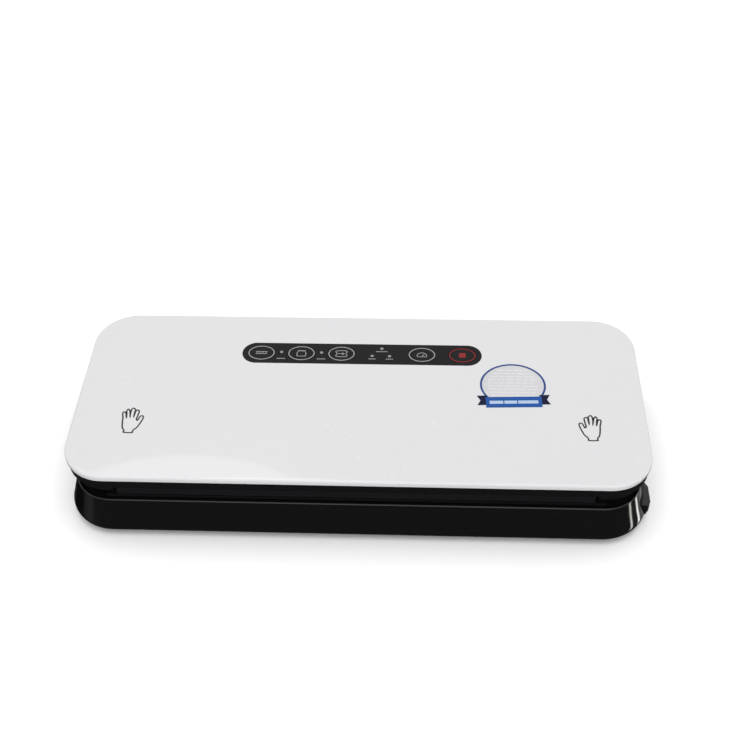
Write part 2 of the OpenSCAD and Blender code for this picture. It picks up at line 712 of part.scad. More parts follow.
// Coil spring along X: a round wire swept along a helix
module coil(x0, x1, turns) {
    steps = turns * 14;
    sides = 6;
    pts = [
        for (i = [0:steps])
            let (a = 360 * turns * i / steps, x = x0 + spring_wire + (x1 - x0 - 2 * spring_wire) * i / steps)
            for (k = [0:sides - 1]) let (q = spring_r - spring_wire + spring_wire * cos(360 / sides * k))
                [x + spring_wire * sin(360 / sides * k), spring_y + q * cos(a),
                    slider_z + slider_t / 2 + q * sin(a)]
    ];
    faces = concat(
        [[for (k = [0:sides - 1]) k]],
        [for (i = [0:steps - 1]) for (k = [0:sides - 1])
            let (n = (k + 1) % sides)
                [i * sides + k, (i + 1) * sides + k, (i + 1) * sides + n, i * sides + n]],
        [[for (k = [sides - 1:-1:0]) steps * sides + k]]
    );
    polyhedron(pts, faces, convexity = 10);
}

module release_spring() color("silver") coil(spring_post_x + 0.05, slider_in - 0.05, 5);

// Release bar: the right catch plate with the button on it, the left catch plate and the link between
module release_bar() color(black) {
    y0 = hook_y - button_w / 2;
    y1 = hook_y + button_w / 2;
    half = slider_w / 2;
    difference() {
        translate([0, hook_y, slider_z]) linear_extrude(slider_t) {
            polygon([
                [slider_in, -half], [window_out - 1, -half], [slider_out, 1.5 - half],
                [slider_out, half], [slider_in, half]
            ]);
            translate([catch_in, 1 - half]) square([catch_out - catch_in, slider_w - 2]);
        }
        for (x = [0, -2 * hook_x]) block([window_in + x, hook_y - window_w / 2, slider_z - 1],
            [window_out + x, hook_y + window_w / 2, slider_z + 3]);
    }
    block([slider_in, spring_y - 3, slider_z - 2],
        [slider_in + 2, hook_y + half - 1, slider_z + slider_t + 2]);
    along_x(spring_r - 2 * spring_wire - 0.3, slider_in - 4, slider_in + eps,
        spring_y, slider_z + slider_t / 2);
    for (x = [slider_in, catch_out - 2]) block([x, hook_y - link_w / 2, link_z],
        [x + 2, hook_y + link_w / 2, slider_z + slider_t]);
    block([catch_out - 2, hook_y - link_w / 2, link_z],
        [slider_in + 2, hook_y + link_w / 2, link_z + link_t]);
    block([window_out, hook_y - 6, button_z - button_h / 2], [slider_out, hook_y + 6, slider_z + slider_t]);
    translate([0, 0, button_z - button_h / 2]) linear_extrude(button_h) polygon([
        [window_out, y0], [side_x - 0.3, y0], [button_x, y0 + 3.5], [button_x, y1 - 3.5],
        [side_x + 0.2, y1], [window_out, y1]
    ]);
}

module lid_plate() color(white) difference() {
    union() {
        difference() {
            flared(lid_w, lid_d, lid_r, [[0.4, plate_z], [0, plate_z + 0.6], [0, face_z - plate_edge],
                [0.3 * plate_edge, face_z - 0.3 * plate_edge], [plate_edge, face_z]]);
            slab(frame_w - 2 * frame_wall, frame_d - 2 * frame_wall, frame_r - frame_wall, plate_z - 1,
                face_z - plate_t - plate_z + 1);
        }
        for (p = lid_screw_at) post(p, boss_r, lid_floor_z, face_z - plate_t + eps);
        for (x = bar_screw_x) post([x, seal_y], boss_r, lid_floor_z, face_z - plate_t + eps);
        for (p = board_screw_at) post(p + [0, panel_y], board_boss_r, switch_z, face_z - plate_t + eps);
    }
    for (p = lid_screw_at) post(p, screw_r, lid_floor_z - 1, face_z - 1.6);
    for (x = bar_screw_x) post([x, seal_y], screw_r, lid_floor_z - 1, face_z - 1.6);
    for (p = board_screw_at) post(p + [0, panel_y], 0.8, switch_z - 1, face_z - 1.6);
    translate([0, panel_y, 0])
        slab(panel_w + fit, panel_d + fit, (panel_d + fit) / 2 - eps, face_z - panel_t, 2);
    for (x = key_x) translate([x, panel_y, switch_z - 1]) linear_extrude(total_h - switch_z + 2)
        oval(key_w + 2 * key_gap, key_d + 2 * key_gap);
    for (p = light_at) post([p[0], panel_y + p[1]], light_r + 0.1, switch_z - 1, total_h + 1);
}

module lid_frame() color(black) difference() {
    union() {
        difference() {
            slab(frame_w, frame_d, frame_r, frame_z, frame_h);
            slab(frame_w - 2 * frame_wall, frame_d - 2 * frame_wall, frame_r - frame_wall, lid_floor_z,
                frame_h);
        }
        translate([0, housing_y, 0])
            slab(pocket_w + 2 * 1.6, pocket_d + 2 * 1.6, 10, frame_z, pocket_z + pocket_t - frame_z);
        translate([0, chamber_y, 0]) ring(ring_w + 2 * rib_t, ring_d + 2 * rib_t, ring_r + rib_t,
            frame_z - 3, 3 + eps, gasket_w + 2 * rib_t);
        lid_skirt();
        for (s = [-1, 1]) {
            along_x(lug_r, s * hinge_x - knuckle_w / 2, s * hinge_x + knuckle_w / 2, hinge_y, hinge_z);
            block([s * hinge_x - knuckle_w / 2, hinge_y - lug_r, hinge_z],
                [s * hinge_x + knuckle_w / 2, hinge_y + lug_r, frame_z + eps]);
        }
    }
    translate([0, housing_y, 0]) slab(pocket_w, pocket_d, 8.4, frame_z - 1, pocket_z - frame_z + 1);
    translate([0, chamber_y, 0]) ring(ring_w, ring_d, ring_r, frame_z - 4, 2.5, gasket_w);
    for (p = lid_screw_at) {
        post(p, screw_r + 0.3, frame_z - 1, lid_floor_z + 1);
        post(p, head_r + 0.3, frame_z - 1, frame_z + 0.8);
    }
    for (x = bar_screw_x) post([x, seal_y], screw_r + 0.3, frame_z - 1, lid_floor_z + 1);
    along_x(pin_r + run_fit, -hinge_x - 20, hinge_x + 20, hinge_y, hinge_z);
}

// Inner skirt that closes the gap over the rim, left open for the bag and round the hinges
module lid_skirt() difference() {
    ring(frame_w - 2 * skirt_inset, frame_d - 2 * skirt_inset, frame_r - skirt_inset, frame_z - skirt_h,
        skirt_h + eps, skirt_t);
    block([-seal_w / 2 - 3, -frame_d, frame_z - skirt_h - 1], [seal_w / 2 + 3, -frame_d / 4, frame_z + 1]);
    for (s = [-1, 1]) block([s * hinge_x - hinge_half - 1, hinge_y - 6, frame_z - skirt_h - 1],
        [s * hinge_x + hinge_half + 1, frame_d, frame_z + 1]);
}

module pressure_bar() color([0.1, 0.1, 0.11]) difference() {
    block([-seal_w / 2, -bar_front, bar_z], [seal_w / 2, -bar_front + bar_d, frame_z]);
    block([-seal_w / 2 - 1, seal_y - strip_w / 2, bar_z - 1],
        [seal_w / 2 + 1, seal_y + strip_w / 2, bar_z + strip_seat]);
    for (x = bar_screw_x) {
        post([x, seal_y], head_r + 0.3, bar_z - 1, bar_z + strip_seat + head_t);
        post([x, seal_y], screw_r + 0.3, bar_z - 1, frame_z + 1);
    }
}

module pressure_strip() color([0.75, 0.3, 0.2]) block([-seal_w / 2 + 1, seal_y - strip_w / 2, strip_z],
    [seal_w / 2 - 1, seal_y + strip_w / 2, bar_z + strip_seat]);

module upper_gasket() color([0.15, 0.15, 0.16]) translate([0, chamber_y, 0])
    ring(ring_w, ring_d, ring_r, gasket_top_z + fit, frame_z - 1.5 - gasket_top_z - fit, gasket_w);

module latch_hooks() color(dark) for (x = [0, -2 * hook_x]) translate([x, hook_y + hook_w / 2, 0])
    rotate([90, 0, 0]) linear_extrude(hook_w) polygon([
        [hook_x - hook_t / 2 - 3, frame_z], [hook_x - hook_t / 2 - 3, frame_z - 1.5],
        [hook_x - hook_t / 2, frame_z - 4], [hook_x - hook_t / 2, hook_z + nose_t],
        [hook_x - hook_t / 2 - nose, hook_z + nose_t], [hook_x - hook_t / 2 - nose, hook_z + 0.9],
        [hook_x - hook_t / 2, hook_z], [hook_x + hook_t / 2, hook_z], [hook_x + hook_t / 2, frame_z]
    ]);

module lid_screws() color("silver") for (p = lid_screw_at) screw(p, frame_z + 0.8 - head_t, 8);

module bar_screws() color("silver") for (x = bar_screw_x) screw([x, seal_y], bar_z + strip_seat, 11);

module control_board() color([0.1, 0.35, 0.15]) difference() {
    translate([0, panel_y, 0]) slab(board_w, board_d, 3, board_z, board_t);
    for (p = board_screw_at) post(p + [0, panel_y], 1, board_z - 1, board_z + 2);
}

module board_screws() color("silver") for (p = board_screw_at) {
    post(p + [0, panel_y], 1.6, board_z - 0.3, board_z);
    post(p + [0, panel_y], 0.8, board_z - eps, board_z + board_t + 2);
}

module tact_switches() color([0.2, 0.2, 0.2]) for (x = key_x) translate([x, panel_y, switch_z]) {
    translate([-2.5, -2.5, 0]) cube([5, 5, switch_t - 0.4]);
    cylinder(r = 1.4, h = switch_t);
}

module light_pipes() color([0.9, 0.95, 1]) for (p = light_at)
    post([p[0], panel_y + p[1]], light_r, switch_z, face_z + panel_lip);

module panel_overlay() color([0.2, 0.2, 0.21]) difference() {
    translate([0, panel_y, 0])
        slab(panel_w, panel_d, panel_d / 2 - eps, face_z - panel_t, panel_t + panel_lip);
    for (x = key_x) translate([x, panel_y, face_z - 2]) linear_extrude(4)
        oval(key_w + 2 * key_gap, key_d + 2 * key_gap);
    for (p = light_at) post([p[0], panel_y + p[1]], light_r + 0.1, face_z - 2, face_z + 2);
}

module sticker() color([0.35, 0.5, 0.8]) translate([sticker_x, 0, face_z]) {
    translate([0, sticker_y, 0]) linear_extrude(film_t) oval(sticker_w, sticker_d);
    linear_extrude(film_t) polygon([
        [-18, -9.5], [18, -9.5], [18, -7.5], [23.8, -7.5], [21.8, -3], [23.8, 1.5], [18, 1.5],
        [-18, 1.5], [-23.8, 1.5], [-21.8, -3], [-23.8, -7.5], [-18, -7.5]
    ]);
}

// Oval key with a wider flange that holds it under the plate and presses its switch
module key(i) {
    flange_z = switch_z + switch_t + key_travel + 0.1;
    flange_top = face_z - plate_t - 0.1;
    translate([key_x[i], panel_y, 0]) {
        translate([0, 0, flange_z]) linear_extrude(flange_top - flange_z) oval(key_w + 2.4, key_d + 2.4);
        translate([0, 0, flange_top - eps]) linear_extrude(total_h - flange_top + eps) oval(key_w, key_d);
    }
}

module key_seal() color([0.25, 0.25, 0.26]) key(0);
module key_accessory() color([0.25, 0.25, 0.26]) key(1);
module key_vacuum() color([0.25, 0.25, 0.26]) key(2);
module key_pressure() color([0.25, 0.25, 0.26]) key(3);
module key_stop() color([0.25, 0.15, 0.15]) key(4);

base_shell();
bottom_cover();
deck();
chamber_trough();
drip_tray();
lower_gasket();
heater_bar();
heating_ribbon();
release_tape();
ribbon_clips();
feet();
base_screws();
hinge_pins();
pump_motor();
motor_magnets();
motor_core();
motor_shaft();
pump_eccentric();
pump_crankcase();
pump_rod();
pump_diaphragm();
pump_head();
pump_cradle();
vacuum_hose();
accessory_hose();
accessory_port();
power_board();
transformer();
capacitors();
relay();
lid_switch();
inlet_socket();
inlet_pins();
release_spring();
release_bar();
lid_plate();
lid_frame();
pressure_bar();
pressure_strip();
upper_gasket();
latch_hooks();
lid_screws();
bar_screws();
control_board();
board_screws();
tact_switches();
light_pipes();
panel_overlay();
sticker();
key_seal();
key_accessory();
key_vacuum();
key_pressure();
key_stop();
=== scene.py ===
"""Looks of a countertop vacuum sealer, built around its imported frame. Metres, +Z up."""
import json
import math

import bpy
import numpy as np
from mathutils import Matrix, Vector


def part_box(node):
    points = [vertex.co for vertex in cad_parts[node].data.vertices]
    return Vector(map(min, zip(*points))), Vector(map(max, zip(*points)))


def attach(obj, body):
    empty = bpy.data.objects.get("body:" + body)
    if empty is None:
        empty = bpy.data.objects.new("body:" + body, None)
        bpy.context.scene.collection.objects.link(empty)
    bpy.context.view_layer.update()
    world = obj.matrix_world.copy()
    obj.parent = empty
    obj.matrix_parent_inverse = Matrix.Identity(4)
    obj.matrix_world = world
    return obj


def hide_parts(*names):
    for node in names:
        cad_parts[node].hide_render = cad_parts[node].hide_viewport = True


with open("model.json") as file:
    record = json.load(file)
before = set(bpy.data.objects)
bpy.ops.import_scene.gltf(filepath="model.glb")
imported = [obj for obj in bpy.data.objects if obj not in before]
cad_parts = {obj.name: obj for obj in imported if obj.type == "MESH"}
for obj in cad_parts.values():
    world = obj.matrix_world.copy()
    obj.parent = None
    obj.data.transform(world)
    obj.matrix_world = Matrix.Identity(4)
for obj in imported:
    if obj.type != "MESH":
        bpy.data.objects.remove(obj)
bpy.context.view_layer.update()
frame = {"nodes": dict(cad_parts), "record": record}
nodes = frame["nodes"]

MM = 0.001

# Sizes below are in millimetres. Base: its widest outline, its wall, the heights of the wall's lower
# edge, widest point, crease and rim, and how far the crease and the rim stand in from the widest point.
# The lip turns in under the base, with a step in the underside of its inner edge
BASE_W, BASE_D, BASE_R = 373.0, 160.8, 31.0
SHELL_T = 2.5
SHELL_LOW, SHELL_EDGE, SHELL_CREASE, SHELL_RIM = 3.0, 7.0, 15.0, 28.0
CREASE_INSET, RIM_INSET = 2.418, 6.2
LIP_W, LIP_STEP_W, LIP_STEP_H = 10.0, 3.0, 1.3

# Box cut out of the right wall for the release button, lowest and highest corner, and how far in Y the
# cuts of the back wall reach
BUTTON_CUT = ((170.5, -60.9, 6.1), (195.0, -41.1, 15.9))
BACK_CUT = (65.0, 90.0)

# Foam gaskets: width of their sections, corner radius of their outlines
GASKET_W = {"lower_gasket": 4.8, "upper_gasket": 5.9}
GASKET_R = 12.0

# Lid plate: outline, height of its lower edge and of its face, radius of its edge, thickness, and width
# of the rim that turns down round it
LID_W, LID_D, LID_R = 370.0, 149.0, 27.7
PLATE_LOW, FACE_Z, PLATE_EDGE, PLATE_T, PLATE_RIM = 46.0, 49.8, 1.2, 2.4, 3.3

# Panel and keys: middle of the row, outline and top of a key, how much wider its hidden flange is and
# the height of the flange's top, how much smaller than the key its printed ring is, the ring's pen
# width, and the unit of the lights' spacing
PANEL_Y = 38.0
KEY_W, KEY_D, KEY_TOP = 18.2, 13.6, 49.9
FLANGE_EXTRA, FLANGE_Z = 2.4, 47.28
RING_LESS, RING_PEN = 0.95, 0.66
LIGHT_PITCH = 27.3

# Prints: thickness, the gap that keeps them off what they lie on, pen width of the pictograms
PRINT_T, PRINT_GAP, PEN = 0.03, 0.01, 0.5

# Press-here hands: places of their middles on the lid, and their pen width
HAND_LEFT_X, HAND_RIGHT_X, HAND_Y, HAND_PEN = -147.0, 149.8, -26.4, 1.0

# Sticker: outline of its film, outline and pen width of its ring, step between printed layers
FILM_W, FILM_D = 43.0, 39.0
STICKER_RING_W, STICKER_RING_D, STICKER_RING_PEN = 41.9, 37.9, 1.35
LAYER_STEP = PRINT_T + 0.002

# Sticker's wording: rows, height of the first above the middle, step between rows, half width and half
# depth of the oval that they fill, margin, gap and pen width, and the lengths of a dash and of the
# least room that still takes one
ROWS, FIRST_ROW, ROW_STEP = 9, 13.6, 2.9
WORDING_W, WORDING_D = 17.5, 17.8
WORDING_MARGIN, DASH_GAP, DASH_PEN = 0.8, 0.9, 1.25
DASH_LENGTHS, DASH_ROOM = (2.0, 6.0), 1.6

# Angle in degrees past which an edge is drawn sharp
SHARP = 35

# Half side of the floor, in metres
FLOOR_HALF = 4.0

# Camera: focal length in millimetres, place in metres, its right-hand and forward directions
LENS = 59.18
CAMERA_PLACE = (0.0405, -0.5435, 0.6195)
CAMERA_RIGHT = (0.9988, 0.0434, -0.0226)
CAMERA_FORWARD = (-0.0467, 0.7072, -0.7055)

# World: brightness of the dome, brightness of a panel whose share is 1, half height of the soft
# horizon, heights between which the panels fade in, and the share of the dark below them. A height is
# the upward part of a direction
DOME, PANELS = 0.93, 14.0
HORIZON_SOFT = 0.03
PANELS_FADE = (-0.66, -0.61)
DARK = 0.003

# Numbers of the two colours and of the result among a colour Mix node's sockets
MIX_A, MIX_B, MIX_OUT = 6, 7, 2


# ---------------------------------------------------------------- camera, floor and light

def make_camera():
    """Camera at the front, a little to the right, looking down at the lid."""
    data = bpy.data.cameras.new("camera")
    data.lens = LENS
    data.sensor_width = 36.0
    data.clip_start = 0.01
    camera = bpy.data.objects.new("camera", data)
    bpy.context.scene.collection.objects.link(camera)
    forward = Vector(CAMERA_FORWARD).normalized()
    right = Vector(CAMERA_RIGHT)
    right = (right - forward * right.dot(forward)).normalized()
    up = right.cross(forward)
    turn = Matrix((right, up, -forward)).transposed()
    camera.matrix_world = Matrix.Translation(CAMERA_PLACE) @ turn.to_4x4()
    bpy.context.scene.camera = camera


def make_floor():
    """Pale floor that runs far past the view. Glossy reflections look past it, into the dark studio."""
    n = 3
    along = np.linspace(-FLOOR_HALF, FLOOR_HALF, n)
    x, y = np.meshgrid(along, along)
    points = np.stack([x.ravel(), y.ravel(), np.zeros(n * n)], 1)
    floor = mesh_object("floor", points, grid_faces(n, n), floor_finish())
    floor.visible_glossy = False


def area_light(name, place, target, size, power, colour=(1, 1, 1)):
    """Rectangular soft light that faces the target."""
    data = bpy.data.lights.new(name, "AREA")
    data.shape = "RECTANGLE"
    data.size, data.size_y = size
    data.energy = power
    data.color = colour
    light = bpy.data.objects.new(name, data)
    bpy.context.scene.collection.objects.link(light)
    direction = Vector(target) - Vector(place)
    light.location = place
    light.rotation_euler = direction.to_track_quat("-Z", "Y").to_euler()
    return light


def world_value(tree, operation, *inputs):
    """Math node of the world: its inputs are numbers or other nodes' outputs."""
    node = tree.nodes.new("ShaderNodeMath")
    node.operation = operation
    for socket, value in zip(node.inputs, inputs):
        if isinstance(value, (int, float)):
            socket.default_value = value
        else:
            tree.links.new(value, socket)
    return node.outputs[0]


def world_fade(tree, value, low, high):
    """0 below low, 1 above high, and even in between."""
    node = tree.nodes.new("ShaderNodeMapRange")
    node.inputs["From Min"].default_value = low
    node.inputs["From Max"].default_value = high
    tree.links.new(value, node.inputs["Value"])
    return node.outputs["Result"]


def world_panels(tree, bearing):
    """Colour ramp round the horizon. A stop is (bearing in degrees from the front with right positive,
    share of PANELS)."""
    stops = [(-180, 0.0), (-88, 0.0), (-78, 0.009), (-62, 0.014), (-50, 0.004), (30, 0.003), (72, 0.004),
             (74.5, 0.6), (76.5, 0.6), (79, 0.006), (95, 0.006), (97, 0.6), (100, 0.6), (103, 0.02),
             (118, 0.045), (180, 0.045)]
    ramp = tree.nodes.new("ShaderNodeValToRGB")
    spots = ramp.color_ramp.elements
    spots[0].position, spots[1].position = 0.0, 1.0
    for degrees, _ in stops[1:-1]:
        spots.new((degrees + 180) / 360)
    for spot, (_, share) in zip(spots, stops):
        spot.color = (share, share * 0.99, share * 0.95, 1)
    tree.links.new(world_value(tree, "MULTIPLY_ADD", bearing, 0.5 / math.pi, 0.5), ramp.inputs["Fac"])
    return ramp.outputs["Color"]


def world_mix(tree, factor, low, high):
    """Colour between two, each a plain grey share or another node's colour."""
    node = tree.nodes.new("ShaderNodeMix")
    node.data_type = "RGBA"
    tree.links.new(factor, node.inputs[0])
    for place, value in ((MIX_A, low), (MIX_B, high)):
        if isinstance(value, float):
            node.inputs[place].default_value = (value, value, value, 1)
        else:
            tree.links.new(value, node.inputs[place])
    return node.outputs[MIX_OUT]


def make_world():
    """White dome above the horizon. Below it, where only reflections look, a dark studio with bright
    panels by their bearing."""
    world = bpy.data.worlds.new("studio")
    bpy.context.scene.world = world
    world.use_nodes = True
    tree = world.node_tree
    ways = tree.nodes.new("ShaderNodeTexCoord").outputs["Generated"]
    split = tree.nodes.new("ShaderNodeSeparateXYZ")
    tree.links.new(ways, split.inputs[0])
    x, y, z = split.outputs
    bearing = world_value(tree, "ARCTAN2", x, world_value(tree, "MULTIPLY", y, -1.0))
    panels = world_mix(tree, world_fade(tree, z, *PANELS_FADE), DARK, world_panels(tree, bearing))
    sky = world_mix(tree, world_fade(tree, z, -HORIZON_SOFT, HORIZON_SOFT), panels, DOME / PANELS)
    background = tree.nodes["Background"]
    background.inputs["Strength"].default_value = PANELS
    tree.links.new(sky, background.inputs["Color"])


def make_lights():
    """Overhead softbox, a curved one behind that shows in the lid, and a low one in front."""
    area_light("overhead", (0.1, 0.2, 1.6), (0, 0, 0), (1.6, 1.2), 11)
    curved = area_light("curved_box", (-0.34, 0.59, 1.0), (-0.34, 0.5901, 0.0), (0.5, 0.34), 0.55)
    curved.data.shape = "ELLIPSE"
    area_light("low_front", (0.0, -1.7, 0.3), (0, -0.08, 0.04), (1.8, 0.22), 6.5, (0.93, 0.93, 1.0))


def plain_colours():
    """Colours shown as they are, with no film look."""
    settings = bpy.context.scene.view_settings
    settings.view_transform = "Standard"
    settings.look = "None"


# ---------------------------------------------------------------- mesh making

def grid_faces(rows, cols, close_rows=False, close_cols=False):
    """Quads of a grid of rows x cols points, numbered row by row, closed round either way."""
    r = np.arange(rows if close_rows else rows - 1)[:, None]
    c = np.arange(cols if close_cols else cols - 1)[None, :]
    r2, c2 = (r + 1) % rows, (c + 1) % cols
    quads = np.stack([r * cols + c, r * cols + c2, r2 * cols + c2, r2 * cols + c], -1)
    return quads.reshape(-1, 4)


def mesh_object(name, points, faces, material, sharp=SHARP):
    """Mesh object from points in metres and equal-sided faces, smooth up to the sharp angle in degrees."""
    faces = np.asarray(faces)
    mesh = bpy.data.meshes.new(name)
    mesh.vertices.add(len(points))
    mesh.vertices.foreach_set("co", np.asarray(points, np.float32).ravel())
    count, sides = faces.shape
    mesh.loops.add(count * sides)
    mesh.loops.foreach_set("vertex_index", faces.astype(np.int32).ravel())
    mesh.polygons.add(count)
    mesh.polygons.foreach_set("loop_start", np.arange(0, count * sides, sides, dtype=np.int32))
    mesh.update(calc_edges=True)
    mesh.validate()
    mesh.polygons.foreach_set("use_smooth", np.ones(len(mesh.polygons), bool))
    mesh.set_sharp_from_angle(angle=math.radians(sharp))
    mesh.materials.append(material)
    piece = bpy.data.objects.new(name, mesh)
    bpy.context.scene.collection.objects.link(piece)
    return piece


def turned_out(points, faces):
    """The same faces, all turned round if the closed surface they make has its inside outwards."""
    p = points[faces]
    volume = 0.0
    for k in range(1, faces.shape[1] - 1):
        volume += np.einsum("ij,ij->i", p[:, 0], np.cross(p[:, k], p[:, k + 1])).sum()
    return faces if volume > 0 else faces[:, ::-1]


def add_piece(name, points, faces, material, body, replaces=(), sharp=SHARP):
    """Piece of the object in the frame: it rides on a body, takes a material and may stand for CAD nodes.
    Its points come in millimetres."""
    points = np.asarray(points, float) * MM
    piece = mesh_object(name, points, turned_out(points, np.asarray(faces)), material, sharp)
    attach(piece, body)
    if replaces:
        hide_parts(*replaces)
    return piece


def rounded_outline(w, d, r, arc=16, side=2):
    """Points and outward directions round a rectangle w x d whose corners are quarter circles of
    radius r: each corner is its centre plus r times its direction, and sides are split evenly."""
    points, out = [], []
    corners = [(w / 2 - r, d / 2 - r), (r - w / 2, d / 2 - r), (r - w / 2, r - d / 2), (w / 2 - r, r - d / 2)]
    for i, centre in enumerate(corners):
        turn = np.radians(90 * i + np.linspace(0, 90, arc + 1))
        way = np.stack([np.cos(turn), np.sin(turn)], 1)
        points.append(np.array(centre) + r * way)
        out.append(way)
        following = np.array(corners[(i + 1) % 4]) + r * way[-1]
        share = np.linspace(0, 1, side + 1)[1:-1, None]
        points.append(points[-1][-1] * (1 - share) + following * share)
        out.append(np.repeat(way[-1:], side - 1, 0))
    return np.concatenate(points), np.concatenate(out)


def soft_profile(corners, radii, steps=6):
    """Flat profile through the corners, each blended by a parabola that starts and ends radius away
    from it: B(t) = (1-t)^2 a + 2t(1-t) corner + t^2 b."""
    corners = np.asarray(corners, float)
    count = len(corners)
    rows = []
    for i, (corner, radius) in enumerate(zip(corners, radii)):
        if radius == 0:
            rows.append(corner[None])
            continue
        back = corners[i - 1] - corner
        ahead = corners[(i + 1) % count] - corner
        a = corner + back / np.linalg.norm(back) * radius
        b = corner + ahead / np.linalg.norm(ahead) * radius
        t = np.linspace(0, 1, steps + 1)[:, None]
        rows.append((1 - t) ** 2 * a + 2 * t * (1 - t) * corner + t ** 2 * b)
    return np.concatenate(rows)


def ring_surface(outline, out, profile):
    """Closed surface: an (inset, height) profile carried round a closed outline. A point is the
    outline's point moved inwards by the inset, at the profile's height."""
    inset, height = profile[:, 0][:, None, None], profile[:, 1][:, None]
    flat = outline[None] - inset * out[None]
    z = np.broadcast_to(height, flat.shape[:2])
    points = np.concatenate([flat, z[..., None]], -1).reshape(-1, 3)
    return points, grid_faces(len(profile), len(outline), True, True)


def plate_from_loops(loops):
    """Closed surface through a list of equal-length loops of points, from the first round to the last
    and back to the first."""
    loops = np.asarray(loops, float)
    return loops.reshape(-1, 3), grid_faces(loops.shape[0], loops.shape[1], True, True)


def with_height(flat, z):
    """Flat points at one height."""
    return np.concatenate([flat, np.full((len(flat), 1), z)], 1)


def reach(ways, centre, w, d, r):
    """How far along each direction from the centre the edge of a rounded rectangle at the origin
    lies: the zero of its signed distance, found by halving."""
    low, high = np.zeros(len(ways)), np.full(len(ways), w)
    for _ in range(50):
        mid = (low + high) / 2
        p = centre + ways * mid[:, None]
        q = np.abs(p) - np.array([w / 2 - r, d / 2 - r])
        distance = np.linalg.norm(np.maximum(q, 0), axis=1) + np.minimum(q.max(1), 0) - r
        high = np.where(distance > 0, mid, high)
        low = np.where(distance > 0, low, mid)
    return low


def outward(flat, w, d, r):
    """Outward direction of a rounded rectangle's outline at points on it."""
    q = np.maximum(np.abs(flat) - np.array([w / 2 - r, d / 2 - r]), 0) * np.sign(flat)
    return q / np.linalg.norm(q, axis=1)[:, None]


def oval_outline(w, d, count=72, centre=(0, 0)):
    """Points round an oval: half width times cosine, half depth times sine."""
    a = np.linspace(0, 2 * np.pi, count, endpoint=False)
    return np.stack([centre[0] + w / 2 * np.cos(a), centre[1] + d / 2 * np.sin(a)], 1)


def dome(outer, levels):
    """Closed lens from a closed outline: each level is (share of the outline's size, height)."""
    middle = outer.mean(0)
    loops = [with_height(middle + (outer - middle) * share, z) for share, z in levels]
    points = np.concatenate(loops)
    return points, grid_faces(len(levels), len(outer), True, True)


# ---------------------------------------------------------------- flat prints

def join_parts(parts):
    """One set of points and quads from several."""
    points, faces, count = [], [], 0
    for p, f in parts:
        points.append(p)
        faces.append(turned_out(p, f) + count)
        count += len(p)
    return np.concatenate(points), np.concatenate(faces)


def add_print(name, parts, material, body):
    """One printed piece made of several strokes and fills."""
    points, faces = join_parts(parts)
    add_piece(name, points, faces, material, body)


def stroke(path, width, z, closed=False):
    """Flat band of even width along a path: its two edges are the path moved half the width along
    its own normal, and it is PRINT_T thick."""
    path = np.asarray(path, float)
    if closed:
        way = np.roll(path, -1, 0) - np.roll(path, 1, 0)
    else:
        way = np.gradient(path, axis=0)
    way /= np.linalg.norm(way, axis=1)[:, None]
    side = np.stack([-way[:, 1], way[:, 0]], 1) * width / 2
    loops = [with_height(path + side, z), with_height(path + side, z + PRINT_T),
             with_height(path - side, z + PRINT_T), with_height(path - side, z)]
    points = np.stack(loops, 1)
    if closed:
        return points.reshape(-1, 3), grid_faces(len(path), 4, True, True)
    ends = [points[0].mean(0)[None].repeat(4, 0), points[-1].mean(0)[None].repeat(4, 0)]
    points = np.concatenate([ends[0][None], points, ends[1][None]])
    return points.reshape(-1, 3), grid_faces(len(points), 4, False, True)


def line(a, b, width, z):
    """Straight stroke between two points."""
    share = np.linspace(0, 1, 3)[:, None]
    return stroke(np.asarray(a, float) * (1 - share) + np.asarray(b, float) * share, width, z)


def filled(outline, z):
    """Flat filled shape, PRINT_T thick, from an outline that its middle can see all round."""
    outline = np.asarray(outline, float)
    middle = with_height(outline.mean(0)[None].repeat(len(outline), 0), z)
    top = middle + [0, 0, PRINT_T]
    loops = [middle, with_height(outline, z), with_height(outline, z + PRINT_T), top]
    points = np.concatenate(loops)
    return points, grid_faces(4, len(outline), True, True)


def smooth_path(points, steps=6, closed=False):
    """Curve through the points, a Catmull-Rom spline: each stretch is the cubic that leaves and meets
    its ends parallel to the line between their neighbours."""
    p = np.asarray(points, float)
    if closed:
        a, b, c, d = np.roll(p, 1, 0), p, np.roll(p, -1, 0), np.roll(p, -2, 0)
    else:
        full = np.concatenate([p[:1], p, p[-1:]])
        a, b, c, d = full[:-3], full[1:-2], full[2:-1], full[3:]
    t = np.linspace(0, 1, steps, endpoint=False)[None, :, None]
    a, b, c, d = (q[:, None] for q in (a, b, c, d))
    curve = 0.5 * (2 * b + (c - a) * t + (2 * a - 5 * b + 4 * c - d) * t ** 2
                   + (3 * b - a - 3 * c + d) * t ** 3)
    curve = curve.reshape(-1, 2)
    return curve if closed else np.concatenate([curve, p[-1:]])


def arc(centre, radius, start, end, count=12):
    """Points of an arc between two angles in degrees."""
    a = np.radians(np.linspace(start, end, count))
    return np.stack([centre[0] + radius * np.cos(a), centre[1] + radius * np.sin(a)], 1)


# ---------------------------------------------------------------- materials

def new_material(name, colour, roughness, **sockets):
    """Material with its plain values on the shader's own sockets. Returns the material, its node tree
    and its shader."""
    material = bpy.data.materials.new(name)
    material.use_nodes = True
    tree = material.node_tree
    shader = tree.nodes["Principled BSDF"]
    shader.inputs["Base Color"].default_value = (*colour, 1)
    shader.inputs["Roughness"].default_value = roughness
    for socket, value in sockets.items():
        shader.inputs[socket.replace("_", " ")].default_value = value
    return material, tree, shader


def coordinates(tree, scale=(1, 1, 1)):
    """Object coordinates, stretched."""
    source = tree.nodes.new("ShaderNodeTexCoord")
    mapping = tree.nodes.new("ShaderNodeMapping")
    mapping.inputs["Scale"].default_value = scale
    tree.links.new(source.outputs["Object"], mapping.inputs["Vector"])
    return mapping.outputs["Vector"]


